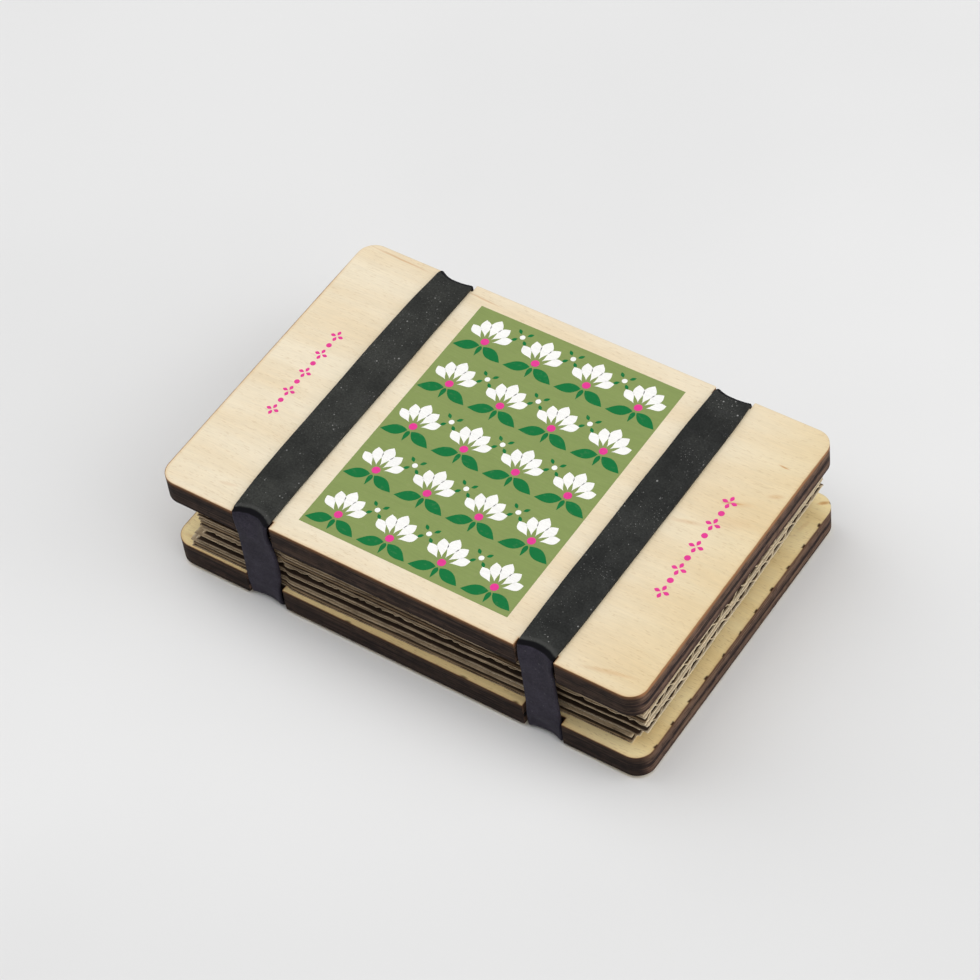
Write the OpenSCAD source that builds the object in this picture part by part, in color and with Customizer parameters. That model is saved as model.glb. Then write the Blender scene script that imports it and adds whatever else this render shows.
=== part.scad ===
// Flower press of two notched plywood boards, a stack of corrugated cardboard and blotting
// paper between them, and two wide rubber bands that squeeze the stack. Millimetres.
// The origin is on the ground under the middle of the press: X runs along the long sides,
// Y across them and Z up. The base board stands on the undersides of the two bands.

/* [Boards] */
// Length of each board along its long side
board_l = 120; // [100:1:220]
// Width of each board
board_w = 79; // [60:1:150]
// Thickness of the plywood
board_t = 6.2; // [4:0.1:12]
// Radius of the board's corners
corner_r = 4.2; // [1:0.1:8]

/* [Notches] */
// From each end of a board to the middle of the nearest notch
notch_inset = 24.6; // [18:0.1:38]
// Free play between a folded band and each wall of its notch
notch_side_gap = 0.15; // [0:0.05:1]
// Depth of a notch into the long edge
notch_depth = 2; // [2:0.1:4]
// Radius of the shoulders at a notch's mouth
shoulder_r = 0.3; // [0.2:0.1:1]

/* [Cardboard] */
// Number of corrugated sheets
card_count = 5; // [2:1:8]
// How far a corrugated sheet stops short of each end of the boards
card_end_gap = 4.8; // [1:0.1:15]
// Free play between a corrugated sheet's long edges and the bands
card_side_gap = 1.6; // [0.5:0.1:10]
// Thickness of a corrugated sheet
card_t = 2.4; // [1.5:0.1:5]
// Thickness of each flat liner
liner_t = 0.3; // [0.2:0.05:0.5]
// Thickness of the wavy paper between the liners
medium_t = 0.25; // [0.15:0.05:0.4]
// Distance from one flute to the next
flute_pitch = 5.75; // [4:0.05:9]

/* [Blotting paper] */
// How far a blotting paper stops short of each end of the boards
paper_end_gap = 5.2; // [1:0.1:15]
// Free play between a blotting paper's long edges and the bands
paper_side_gap = 1.9; // [0.5:0.1:10]
// Thickness of a blotting paper
paper_t = 0.33; // [0.15:0.01:1]
// Blotting papers between two corrugated sheets
papers_per_gap = 2; // [1:1:3]

/* [Bands] */
// Width of a band where it lies on a board's face
band_w = 10; // [6:0.1:14]
// Thickness of the rubber
band_t = 1; // [0.6:0.1:1.5]
// How far each edge of a band draws in where it is stretched over a fold
band_draw_in = 0.4; // [0.1:0.1:1]
// Outer radius of a band's folds
fold_r = 1.6; // [0.8:0.1:2]
// Length over which a band narrows towards its fold
band_taper = 6; // [2:0.5:15]
// How far the stack pushes each side of a band out, past the floors of its notches
band_bow = 0.8; // [0.1:0.1:1]

/* [Hidden] */
$fn = 64;
// Overrun of every cut past the face that it leaves
cut_over = 1;

// Width of a band between the walls of a notch, and the radius that its rubber can fold to
band_side_w = band_w - 2 * band_draw_in;
band_fold_r = min(fold_r, 2 * band_t);

// Width of a notch, and its place from the middle of the press, which is its band's too
notch_w = band_side_w + 2 * notch_side_gap;
notch_offset = board_l / 2 - notch_inset;

// Width of the boards between the floors of two notches, and of the room inside the bands
neck_w = board_w - 2 * notch_depth;
room_w = neck_w + 2 * band_bow;

// Sizes of the sheets
card_l = board_l - 2 * card_end_gap;
card_w = room_w - 2 * card_side_gap;
paper_l = board_l - 2 * paper_end_gap;
paper_w = room_w - 2 * paper_side_gap;

// Heights of what lies on what, from the ground up
base_z = band_t;
stack_z = base_z + board_t;
layer_t = card_t + papers_per_gap * paper_t;
stack_t = card_count * layer_t - papers_per_gap * paper_t;
top_z = stack_z + stack_t;
press_t = 2 * board_t + stack_t;

// Slip of each sheet from the middle, as shares of its free play, from the bottom one up
card_slip_x_shares = [-0.12, 0.20, 0.70, 0.69, 0.66, 0.60, 0.52, 0.58];
card_slip_y_shares = [-0.98, -0.95, -0.95, -0.98, -0.98, -0.90, -0.94, -0.92];
paper_slip_x_shares = [-0.10, 0.05, 0.32, 0.50, 0.66, 0.62, 0.64, 0.60];
paper_slip_y_shares = [-0.92, -0.80, -0.96, -0.85, -0.94, -0.78, -0.95, -0.88];
// Turn of each sheet, as shares of the turn that brings its long edges against the bands
card_turn_shares = [0.57, 0.74, 0.64, 0.54, 0.50, 0.55, 0.60, 0.52];
paper_turn_shares = [0.52, 0.60, 0.66, 0.62, 0.58, 0.54, 0.50, 0.46];

// The wavy paper: points along each flute, the room that it fills and its height there
wave_steps = 12;
wave_room = card_t - 2 * liner_t;
wave_h = wave_room / 2;

CARD_NODES = [for (i = [1 : card_count]) str("cardboard_", i)];
PAPER_NODES = [for (i = [1 : card_count - 1], j = [1 : papers_per_gap])
    str("blotter_", i, "_", j)];

WOOD = [0.90, 0.82, 0.68];
CARD = [0.68, 0.62, 0.53];
PAPER = [0.86, 0.83, 0.77];
RUBBER = [0.16, 0.16, 0.17];

// Rectangle with true arcs at its corners, centred
module rounded_rectangle(l, w, r) {
    square([l - 2 * r, w], center = true);
    square([l, w - 2 * r], center = true);
    for (x = [-1, 1], y = [-1, 1])
        translate([x * (l / 2 - r), y * (w / 2 - r)]) circle(r);
}

// One notch in an edge that lies on the X axis, open towards +Y, with rounded shoulders
module notch() {
    translate([-notch_w / 2, -notch_depth]) square([notch_w, notch_depth + cut_over]);
    for (side = [-1, 1])
        translate([side * notch_w / 2, -shoulder_r]) difference() {
            translate([-shoulder_r, 0]) square([2 * shoulder_r, shoulder_r + cut_over]);
            translate([side * shoulder_r, 0]) circle(shoulder_r);
        }
}

// Flat outline of a board with its four notches
module board_outline() {
    difference() {
        rounded_rectangle(board_l, board_w, corner_r);
        for (x = [-1, 1], y = [0, 1])
            mirror([0, y]) translate([x * notch_offset, board_w / 2]) notch();
    }
}

module board(z) {
    translate([0, 0, z]) linear_extrude(board_t) board_outline();
}

module base_board() color(WOOD) board(base_z);

module top_board() color(WOOD) board(top_z);

// Points along the wavy paper's upper (+1) or lower (-1) side, past both edges of a sheet
function wave_points(side) = [for (i = [-1 : ceil(wave_steps * card_w / flute_pitch) + 1])
    let (y = i * flute_pitch / wave_steps)
    [y - card_w / 2, card_t / 2 + wave_h * sin(360 * y / flute_pitch) + side * medium_t / 2]];

// The open channels above (+1) or below (-1) the wavy paper
module channels(side) {
    points = wave_points(side);
    far_z = card_t / 2 + side * card_t;
    intersection() {
        polygon(concat(points, [[points[len(points) - 1].x, far_z], [points[0].x, far_z]]));
        translate([-card_w / 2 - cut_over, liner_t])
            square([card_w + 2 * cut_over, wave_room]);
    }
}

// End view of a corrugated sheet: two liners with the wavy paper glued between them
module card_profile() {
    difference() {
        translate([-card_w / 2, 0]) square([card_w, card_t]);
        channels(1);
        channels(-1);
    }
}

// Puts a sheet where it lies in the stack: slipped along and across, and turned a little.
// What the turn takes of the play towards the bands is no longer there for the slip.
module lay(end_gap, side_gap, slip_x_share, slip_y_share, turn_share, z) {
    reach = notch_offset + band_w / 2 + end_gap;
    translate([slip_x_share * end_gap, slip_y_share * (1 - turn_share) * side_gap, z])
        rotate(atan(turn_share * side_gap / reach)) children();
}

// Corrugated sheet number i, counted from 1 at the bottom, with its flutes along X
module cardboard(i) {
    k = i - 1;
    color(CARD) lay(card_end_gap, card_side_gap, card_slip_x_shares[k],
            card_slip_y_shares[k], card_turn_shares[k], stack_z + k * layer_t)
        rotate([90, 0, 90]) translate([0, 0, -card_l / 2])
            linear_extrude(card_l) card_profile();
}

// Blotting paper number j on top of corrugated sheet number i
module blotter(i, j) {
    k = ((i - 1) * papers_per_gap + j - 1) % len(paper_turn_shares);
    z = stack_z + (i - 1) * layer_t + card_t + (j - 1) * paper_t;
    color(PAPER) lay(paper_end_gap, paper_side_gap, paper_slip_x_shares[k],
            paper_slip_y_shares[k], paper_turn_shares[k], z)
        linear_extrude(paper_t) square([paper_l, paper_w], center = true);
}

// Outline round both boards at a notch, bowed at the sides by the stack. Its half width at
// the boards' outer faces is half_w.
module bowed_outline(half_w) {
    rim = [[half_w, base_z], [half_w + band_bow, stack_z], [half_w + band_bow, top_z],
        [half_w, base_z + press_t]];
    polygon(concat(rim, [for (i = [len(rim) - 1 : -1 : 0]) [-rim[i].x, rim[i].y]]));
}

// Side view of a band's loop round both boards, across the press
module band_loop() {
    difference() {
        union() {
            translate([0, base_z + press_t / 2])
                rounded_rectangle(neck_w + 2 * band_t, press_t + 2 * band_t, band_fold_r);
            bowed_outline(neck_w / 2 + band_t);
        }
        bowed_outline(neck_w / 2);
    }
}

// Top view of a band: wide on the boards' faces, squeezed where it folds into the notches
module band_outline() {
    narrow_y = neck_w / 2 - shoulder_r;
    wide_y = narrow_y - band_taper;
    square([band_side_w, board_w + 2 * cut_over], center = true);
    polygon([
        [-band_side_w / 2, -narrow_y], [band_side_w / 2, -narrow_y],
        [band_w / 2, -wide_y], [band_w / 2, wide_y],
        [band_side_w / 2, narrow_y], [-band_side_w / 2, narrow_y],
        [-band_w / 2, wide_y], [-band_w / 2, -wide_y]]);
}

module band(x) {
    loop_w = band_w + 2 * cut_over;
    color(RUBBER) translate([x, 0]) intersection() {
        rotate([90, 0, 90]) translate([0, 0, -loop_w / 2])
            linear_extrude(loop_w) band_loop();
        translate([0, 0, -cut_over])
            linear_extrude(press_t + 2 * band_t + 2 * cut_over) band_outline();
    }
}

module band_left() band(-notch_offset);

module band_right() band(notch_offset);

base_board();
top_board();
band_left();
band_right();
for (i = [1 : card_count])
    cardboard(i);
for (i = [1 : card_count - 1], j = [1 : papers_per_gap])
    blotter(i, j);
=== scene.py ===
import math

import bpy
import numpy as np
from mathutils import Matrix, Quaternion, Vector


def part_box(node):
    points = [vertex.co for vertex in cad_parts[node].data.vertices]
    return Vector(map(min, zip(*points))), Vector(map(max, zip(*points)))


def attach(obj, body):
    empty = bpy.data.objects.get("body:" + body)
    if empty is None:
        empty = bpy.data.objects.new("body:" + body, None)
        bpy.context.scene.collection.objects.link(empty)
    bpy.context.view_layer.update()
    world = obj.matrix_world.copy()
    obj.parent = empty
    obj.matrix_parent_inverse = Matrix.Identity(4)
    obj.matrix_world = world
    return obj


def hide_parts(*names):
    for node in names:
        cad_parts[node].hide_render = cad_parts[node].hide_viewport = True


# Looks of a flower press: two notched plywood boards with a stack of corrugated cardboard and
# blotting paper between them, held by two wide rubber bands. Every length is in metres.
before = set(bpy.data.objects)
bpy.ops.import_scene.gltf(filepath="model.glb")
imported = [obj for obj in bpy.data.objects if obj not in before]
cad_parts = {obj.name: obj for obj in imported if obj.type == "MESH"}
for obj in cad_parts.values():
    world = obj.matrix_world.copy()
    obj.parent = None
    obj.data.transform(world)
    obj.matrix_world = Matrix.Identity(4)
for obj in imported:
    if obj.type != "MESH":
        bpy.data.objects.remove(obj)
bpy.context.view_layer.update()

MM = 0.001
SEED = 4711

base_low, base_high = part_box("base_board")
top_low, top_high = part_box("top_board")
BOARD_L = base_high.x - base_low.x
BOARD_W = base_high.y - base_low.y
BOARD_T = base_high.z - base_low.z
CORNER_R = 4.2 * MM
NOTCH_W = 9.5 * MM
NOTCH_DEPTH = 2.0 * MM
NOTCH_X = (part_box("band_right")[0].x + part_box("band_right")[1].x) / 2


def srgb(red, green, blue):
    """Linear colour of an 8-bit one."""
    def linear(value):
        share = value / 255
        return share / 12.92 if share <= 0.04045 else ((share + 0.055) / 1.055) ** 2.4
    return (linear(red), linear(green), linear(blue), 1.0)


def smooth(share):
    """Smooth step from 0 to 1 of a number or an array."""
    share = np.clip(share, 0.0, 1.0)
    return share * share * (3 - 2 * share)


# Meshes

def new_piece(name, points, faces, materials, body, sharp_angle=40, tints=None):
    """Mesh object that rides on a body. tints maps an attribute's name to a value per point."""
    mesh = bpy.data.meshes.new(name)
    mesh.from_pydata([tuple(point) for point in points], [], [tuple(face) for face in faces])
    for attribute_name, values in (tints or {}).items():
        attribute = mesh.attributes.new(attribute_name, "FLOAT", "POINT")
        attribute.data.foreach_set("value", np.asarray(values, np.float32))
    mesh.polygons.foreach_set("use_smooth", np.ones(len(mesh.polygons), bool))
    mesh.update()
    mesh.set_sharp_from_angle(angle=math.radians(sharp_angle))
    for material in materials:
        mesh.materials.append(material)
    piece = bpy.data.objects.new(name, mesh)
    bpy.context.scene.collection.objects.link(piece)
    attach(piece, body)
    return piece


class Shell:
    """Points and faces of a mesh that grows part by part."""

    def __init__(self):
        self.points = []
        self.faces = []
        self.tint = []

    def add(self, points, faces, tint=0.0):
        first = len(self.points)
        self.points.extend(points)
        self.faces.extend([[first + index for index in face] for face in faces])
        self.tint.extend([tint] * len(points) if np.isscalar(tint) else tint)


def between_rings(first, second, count):
    """Quads that join two closed rings of points."""
    return [[first + i, first + (i + 1) % count, second + (i + 1) % count, second + i]
            for i in range(count)]


# Shader nodes

class Graph:
    """Adds nodes to a tree. Every input takes a socket or a plain value."""

    def __init__(self, tree):
        self.tree = tree

    def feed(self, socket, value):
        if isinstance(value, bpy.types.NodeSocket):
            self.tree.links.new(value, socket)
        else:
            socket.default_value = value

    def node(self, kind, inputs=None, **settings):
        made = self.tree.nodes.new(kind)
        for name, value in settings.items():
            setattr(made, name, value)
        for name, value in (inputs or {}).items():
            self.feed(made.inputs[name], value)
        return made

    def math(self, operation, *values):
        made = self.node("ShaderNodeMath", operation=operation)
        for socket, value in zip(made.inputs, values):
            self.feed(socket, value)
        return made.outputs[0]

    def chain(self, operation, values):
        """One operation over two or more values, from the left."""
        result = values[0]
        for value in values[1:]:
            result = self.math(operation, result, value)
        return result

    def times(self, *values):
        return self.chain("MULTIPLY", values)

    def plus(self, *values):
        return self.chain("ADD", values)

    def minus(self, value, less):
        return self.math("SUBTRACT", value, less)

    def length(self, x, y):
        """How long a vector with these parts is."""
        return self.math("SQRT", self.plus(self.times(x, x), self.times(y, y)))

    def vector(self, operation, *values):
        made = self.node("ShaderNodeVectorMath", operation=operation)
        for socket, value in zip(made.inputs, values):
            self.feed(socket, value)
        return made.outputs[0]

    def shaded(self, colour, shade):
        """A colour times a shade."""
        made = self.node("ShaderNodeVectorMath", {"Scale": shade}, operation="SCALE")
        self.feed(made.inputs[0], colour)
        return made.outputs[0]

    def split(self, vector):
        """The x, y and z of a vector."""
        return self.node("ShaderNodeSeparateXYZ", {"Vector": vector}).outputs

    def join(self, x, y, z):
        return self.node("ShaderNodeCombineXYZ", {"X": x, "Y": y, "Z": z}).outputs[0]

    def fade(self, value, start, end, low=0.0, high=1.0):
        """Smooth ramp from low at start to high at end."""
        made = self.node("ShaderNodeMapRange", {
            "Value": value, "From Min": start, "From Max": end, "To Min": low, "To Max": high,
        }, interpolation_type="SMOOTHSTEP")
        return made.outputs["Result"]

    def mix(self, share, low, high, blend="MIX"):
        made = self.node("ShaderNodeMix", data_type="RGBA", blend_type=blend)
        self.feed(made.inputs[0], share)
        self.feed(made.inputs[6], low)
        self.feed(made.inputs[7], high)
        return made.outputs[2]

    def noise(self, vector, waves, detail=2.0, roughness=0.5):
        """Noise of so many waves a metre along X, Y and Z, about 0.5 in the middle."""
        made = self.node("ShaderNodeTexNoise", {
            "Vector": self.vector("MULTIPLY", vector, waves), "Scale": 1.0,
            "Detail": detail, "Roughness": roughness})
        return made.outputs["Fac"]

    def place(self):
        """Where a point lies on the press, whatever its pose."""
        return self.node("ShaderNodeTexCoord").outputs["Object"]

    def attribute(self, name):
        return self.node("ShaderNodeAttribute", attribute_name=name).outputs["Fac"]

    def group(self, tree, inputs):
        made = self.node("ShaderNodeGroup", node_tree=tree)
        for name, value in inputs.items():
            self.feed(made.inputs[name], value)
        return made.outputs

    def bump(self, height, distance, strength=1.0):
        made = self.node("ShaderNodeBump", {
            "Height": height, "Distance": distance, "Strength": strength})
        return made.outputs["Normal"]


SOCKETS = {"value": "NodeSocketFloat", "colour": "NodeSocketColor", "vector": "NodeSocketVector"}


def shader_group(name, inputs, outputs, build):
    """Node group whose inputs are (name, kind, default) and whose outputs build returns."""
    tree = bpy.data.node_groups.new(name, "ShaderNodeTree")
    for socket_name, kind, default in inputs:
        socket = tree.interface.new_socket(
            socket_name, in_out="INPUT", socket_type=SOCKETS[kind])
        if default is not None:
            socket.default_value = default
    for socket_name, kind in outputs:
        tree.interface.new_socket(socket_name, in_out="OUTPUT", socket_type=SOCKETS[kind])
    graph = Graph(tree)
    given = graph.node("NodeGroupInput").outputs
    result = graph.node("NodeGroupOutput")
    for (socket_name, _), value in zip(outputs, build(graph, given)):
        graph.feed(result.inputs[socket_name], value)
    return tree


def material(name, build, **plain):
    """Material whose build(graph) returns the linked inputs of its Principled BSDF."""
    made = bpy.data.materials.new(name)
    made.use_nodes = True
    shader = made.node_tree.nodes["Principled BSDF"]
    graph = Graph(made.node_tree)
    for socket_name, value in plain.items():
        shader.inputs[socket_name.replace("_", " ")].default_value = value
    for socket_name, value in build(graph).items():
        graph.feed(shader.inputs[socket_name], value)
    return made


# Noises in the wood and on its faces: waves a metre along X, Y and Z, detail and roughness
GRAIN_DRIFT = ((22, 34, 22), 1.0)
GRAIN_FIGURE = ((14, 95, 40), 3.0, 0.55)
WOOD_FIBRES = ((170, 3800, 3800), 2.0, 0.6)
WOOD_FLECKS = ((720, 3300, 3300), 1.0)
WOOD_SILK = ((420, 520, 520), 2.0)
MARK_WOBBLE = ((300, 300, 300), 2.0)
RIM_SWAY = ((420, 420, 420), 3.0, 0.6)
TICK_SWAY = ((320, 320, 320), 3.0, 0.6)
INK_SOAK = ((900, 1300, 900), 2.0)

# Noises on the boards' cut sides
PLY_RIPPLE = ((90, 90, 420), 2.0)
PLY_LINES = ((34, 34, 2400), 2.0, 0.6)
CHAR_SPECKS = ((420, 420, 900), 3.0, 0.65)
CHAR_STREAKS = ((60, 60, 3400), 2.0, 0.65)

# Noises in pulp, dust, rubber and the floor's sheet
PULP_CLOUDS = ((160, 160, 160), 3.0)
PULP_FIBRES = ((2600, 900, 2600), 2.0, 0.6)
PULP_SPECKS = ((1500, 1500, 1500), 1.0)
DUST_CLOUDS = ((130, 130, 130), 3.0, 0.6)
FOLD_SWAY = ((420, 420, 420), 2.0)
RUBBER_SCUFFS = ((260, 900, 700), 3.0, 0.6)
RUBBER_TOOTH = ((2300, 2300, 2300), 2.0, 0.6)
FLOOR_CLOUDS = ((6, 6, 6), 3.0)
FLOOR_TOOTH = ((1500, 1500, 1500), 2.0)

# How far the grain of the veneer sways across the boards
GRAIN_SWAY = 6 * MM


def build_wood_grain(graph, given):
    """Birch veneer with its grain along X: soft figure, fine fibres and short dark flecks."""
    x, y, z = graph.split(given["Vector"])
    drift = graph.noise(given["Vector"], *GRAIN_DRIFT)
    swayed = graph.plus(y, graph.times(drift, GRAIN_SWAY))
    flow = graph.join(x, swayed, z)
    figure = graph.noise(flow, *GRAIN_FIGURE)
    fibres = graph.noise(flow, *WOOD_FIBRES)
    flecks = graph.noise(flow, *WOOD_FLECKS)
    silk = graph.noise(flow, *WOOD_SILK)
    fleck = graph.times(graph.fade(flecks, 0.6, 0.72), given["Flecks"])
    colour = graph.mix(graph.fade(figure, 0.36, 0.66), given["Pale"], given["Warm"])
    shade = graph.plus(graph.fade(fibres, 0.25, 0.75, 0.955, 1.03),
                       graph.fade(silk, 0.3, 0.7, -0.012, 0.012))
    colour = graph.mix(fleck, graph.shaded(colour, shade), given["Fleck Colour"])
    height = graph.minus(fibres, graph.times(fleck, 0.6))
    return colour, height


wood_grain = shader_group(
    "wood_grain",
    (("Vector", "vector", None), ("Flecks", "value", 0.3),
     ("Pale", "colour", srgb(239, 226, 202)), ("Warm", "colour", srgb(232, 214, 182)),
     ("Fleck Colour", "colour", srgb(190, 158, 112))),
    (("Colour", "colour"), ("Height", "value")), build_wood_grain)


def build_board_depth(graph, given):
    """How far a point lies in from the outline of the boards, with their corners and notches."""
    x, y, _ = graph.split(given["Vector"])
    x = graph.math("ABSOLUTE", x)
    y = graph.math("ABSOLUTE", y)

    def box(middle_x, middle_y, half_x, half_y):
        """Signed distance to a box, positive outside."""
        over_x = graph.minus(graph.math("ABSOLUTE", graph.minus(x, middle_x)), half_x)
        over_y = graph.minus(graph.math("ABSOLUTE", graph.minus(y, middle_y)), half_y)
        out_x = graph.math("MAXIMUM", over_x, 0.0)
        out_y = graph.math("MAXIMUM", over_y, 0.0)
        out = graph.length(out_x, out_y)
        inside = graph.math("MINIMUM", graph.math("MAXIMUM", over_x, over_y), 0.0)
        return graph.plus(out, inside)

    outside = graph.minus(box(0.0, 0.0, BOARD_L / 2 - CORNER_R, BOARD_W / 2 - CORNER_R),
                          CORNER_R)
    notch = box(NOTCH_X, BOARD_W / 2, NOTCH_W / 2, NOTCH_DEPTH)
    depth = graph.math("MINIMUM", graph.times(outside, -1.0), notch)
    return (depth,)


board_depth = shader_group(
    "board_depth", (("Vector", "vector", None),), (("Depth", "value"),), build_board_depth)


def build_wood_mark(graph, given):
    """A soft spindle-shaped mark in the wood: a knot's fleck, a streak or a mineral line."""
    away = graph.vector("SUBTRACT", given["Vector"], given["Middle"])
    turned = graph.node("ShaderNodeVectorRotate", {"Vector": away, "Angle": given["Turn"]},
                        rotation_type="Z_AXIS", invert=True).outputs[0]
    along, across, _ = graph.split(turned)
    wobble = graph.noise(given["Vector"], *MARK_WOBBLE)
    across = graph.plus(across, graph.times(graph.minus(wobble, 0.5), given["Wobble"]))
    long = graph.math("DIVIDE", along, given["Half Length"])
    wide = graph.math("DIVIDE", across, given["Half Width"])
    reach = graph.length(long, wide)
    return (graph.times(graph.fade(reach, 1.0, 0.15), given["Strength"]),)


wood_mark = shader_group(
    "wood_mark",
    (("Vector", "vector", None), ("Middle", "vector", None), ("Turn", "value", 0.0),
     ("Half Length", "value", 1 * MM), ("Half Width", "value", 1 * MM),
     ("Wobble", "value", 0.0), ("Strength", "value", 1.0)),
    (("Mask", "value"),), build_wood_mark)


def build_fibre(graph, given):
    """Pulp: cloudy patches, short fibres and dark specks, as paper and card show."""
    clouds = graph.noise(given["Vector"], *PULP_CLOUDS)
    fibres = graph.noise(given["Vector"], *PULP_FIBRES)
    specks = graph.noise(given["Vector"], *PULP_SPECKS)
    shade = graph.plus(graph.fade(clouds, 0.3, 0.7, 0.93, 1.05),
                       graph.fade(fibres, 0.25, 0.75, -0.09, 0.07))
    shade = graph.plus(shade, graph.fade(specks, 0.66, 0.76, 0.0, -0.22))
    return shade, fibres


fibre = shader_group(
    "fibre", (("Vector", "vector", None),), (("Shade", "value"), ("Height", "value")),
    build_fibre)


def build_dust(graph, given):
    """Pale specks: in each cell of a grid of random points, one speck of its own size."""
    cells = graph.node("ShaderNodeTexVoronoi", {
        "Vector": given["Vector"], "Scale": given["Cells"]}, feature="F1")
    chance = graph.split(cells.outputs["Color"])[0]
    size = graph.times(given["Size"], graph.math("POWER", chance, given["Rarity"]))
    speck = graph.fade(cells.outputs["Distance"], size, graph.times(size, 0.4))
    clouds = graph.noise(given["Vector"], *DUST_CLOUDS)
    gate = graph.fade(clouds, 0.38, 0.60)
    mask = graph.times(speck, gate, given["Amount"])
    return mask, clouds


dust = shader_group(
    "dust",
    (("Vector", "vector", None), ("Cells", "value", 900.0), ("Size", "value", 0.35),
     ("Rarity", "value", 5.0), ("Amount", "value", 1.0)),
    (("Mask", "value"), ("Clouds", "value")), build_dust)


# Materials

# Marks in the veneer of the top board: middle x and y, turn in degrees, half length, half
# width (millimetres) and strength
TOP_MARKS = (
    (54.5, 27.1, -3, 1.8, 0.30, 0.80),
    (50.2, 13.6, 22, 3.0, 0.34, 0.75),
    (51.2, 14.0, 22, 5.0, 1.20, 0.22),
    (57.1, 19.4, 28, 2.6, 1.00, 0.30),
    (44.6, 4.9, 14, 5.2, 0.90, 0.26),
    (52.5, 8.6, 22, 6.5, 2.40, 0.14),
    (51.2, -35.7, 13, 8.5, 0.85, 0.28),
    (-45.2, -33.6, 12, 3.4, 0.70, 0.20),
    (-50.3, 38.1, -2, 10.5, 0.34, 0.55),
    (-27.5, 36.8, -3, 6.5, 0.34, 0.45),
)
BASE_MARKS = (
    (-55.0, -36.9, 3, 5.0, 0.60, 0.30),
    (57.0, 30.0, 80, 3.0, 0.80, 0.20),
    (57.6, 37.6, 40, 2.0, 0.70, 0.80),
)
# Burnt spots on the base board's front rim, where the laser stopped: the same values
BASE_BURNS = (
    (-13.5, -39.4, 0, 1.3, 0.55, 0.8),
    (16.0, -39.4, 0, 1.5, 0.60, 0.8),
    (29.0, -39.4, 0, 1.2, 0.50, 0.8),
)
MARK_COLOUR = srgb(200, 146, 84)
SOAKED_WOOD = srgb(200, 188, 160)

# The veneer darkens with age towards the right end, between these places along X
AGED_TINT = (0.93, 0.87, 0.73, 1.0)
AGED_FROM, AGED_TO = 30 * MM, 66 * MM

# Scorch on a face's rim: a dark line, a pale halo that reaches further in, how much each takes
# of the wood, how far their reach sways, and where along Y they fade to the back's share
SCORCH_LINE, LINE_REACH, LINE_SHARE = srgb(136, 88, 50), (0.26 * MM, 0.02 * MM), 0.9
SCORCH_HALO, HALO_REACH, HALO_SHARE = srgb(216, 180, 128), (0.9 * MM, 0.1 * MM), 0.4
SCORCH_SWAY = 0.18 * MM
SCORCH_FADE = (24 * MM, 38 * MM)
SCORCH_AT_BACK = 0.15

# The laser's stops, which leave a burnt tick on the rim at a steady pitch: how wide each is
# along the rim, how far it reaches in, how much both sway, and how near the end they begin
CHAR_TICK = srgb(70, 46, 30)
TICK_PITCH = 6.63 * MM
TICK_START = 34.0 * MM
TICK_HALF = 0.62 * MM
TICK_REACH = 0.62 * MM
TICK_WANDER = 0.9 * MM
TICK_BAND = (1.6 * MM, 1.2 * MM)

# Cut sides: the lower and the upper ply, each from its foot to its top, the glue line, the
# plies' lines, the charred specks, and what the laser burnt black
LOWER_PLY = (srgb(62, 45, 39), srgb(112, 87, 72))
UPPER_PLY = (srgb(94, 73, 61), srgb(120, 94, 75))
GLUE_LINE = srgb(20, 14, 15)
DARK_LINE, PALE_LINE = srgb(52, 38, 33), srgb(150, 120, 94)
DARK_CHAR, PALE_CHAR = srgb(50, 34, 34), srgb(122, 92, 84)
BURNT_BLACK = srgb(18, 11, 10)

# Rubber: its sides in the notches with painted sheen, scuffs, the pale dusty rim painted as a
# highlight, the near-black painted shade of a fold, and the coarse and the fine dust
# The sides' rubber is brighter and more purple than the faces': painted sheen.
SIDE_SHEEN_RUBBER_LOW, SIDE_SHEEN_RUBBER_HIGH = srgb(44, 41, 51), srgb(60, 56, 68)
# The pale rim colour is a painted highlight, and the near-black fold colour is painted shade.
SCUFFED_RUBBER, DUSTY_RIM_HIGHLIGHT, FOLD_SHADE_RUBBER = srgb(62, 61, 64), srgb(80, 80, 78), srgb(5, 4, 9)
DUST_COLOUR, FINE_DUST_COLOUR = srgb(160, 160, 158), srgb(128, 128, 126)

# The coarse and the fine dust, how much there is of the fine, and how far its grid is moved
COARSE_DUST = {"Cells": 1300.0, "Size": 0.38}
FINE_DUST = {"Cells": 2500.0, "Size": 0.44, "Rarity": 2.2}
FINE_DUST_SHARE = 0.6
FINE_DUST_SHIFT = (0.31, 0.17, 0.05)

# Where the pale dusty rim painted as a highlight and the painted shade of a fold begin and end,
# and where dust settles, each as a ramp in millimetres from the fold; the ramp along Y that
# keeps the painted highlight in front; and the share of the dust that the sides keep
RIM_HIGHLIGHT_START, RIM_HIGHLIGHT_END, RIM_HIGHLIGHT_SHARE = (0.8, 1.2), (2.2, 1.4), 0.4
RIM_HIGHLIGHT_IN_FRONT = (5 * MM, -5 * MM)
FOLD_SHADE_START, FOLD_SHADE_END = (-0.6, -0.2), (1.0, 0.65)
DUST_START, SIDE_DUST_SHARE = (0.3, 1.2), 0.25

# Heights of the surfaces' relief
WOOD_RELIEF = 0.03 * MM
INK_RELIEF = 0.02 * MM
RUBBER_RELIEF = 0.02 * MM
CARD_RELIEF = 0.05 * MM
FLOOR_RELIEF = 0.05 * MM


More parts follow.
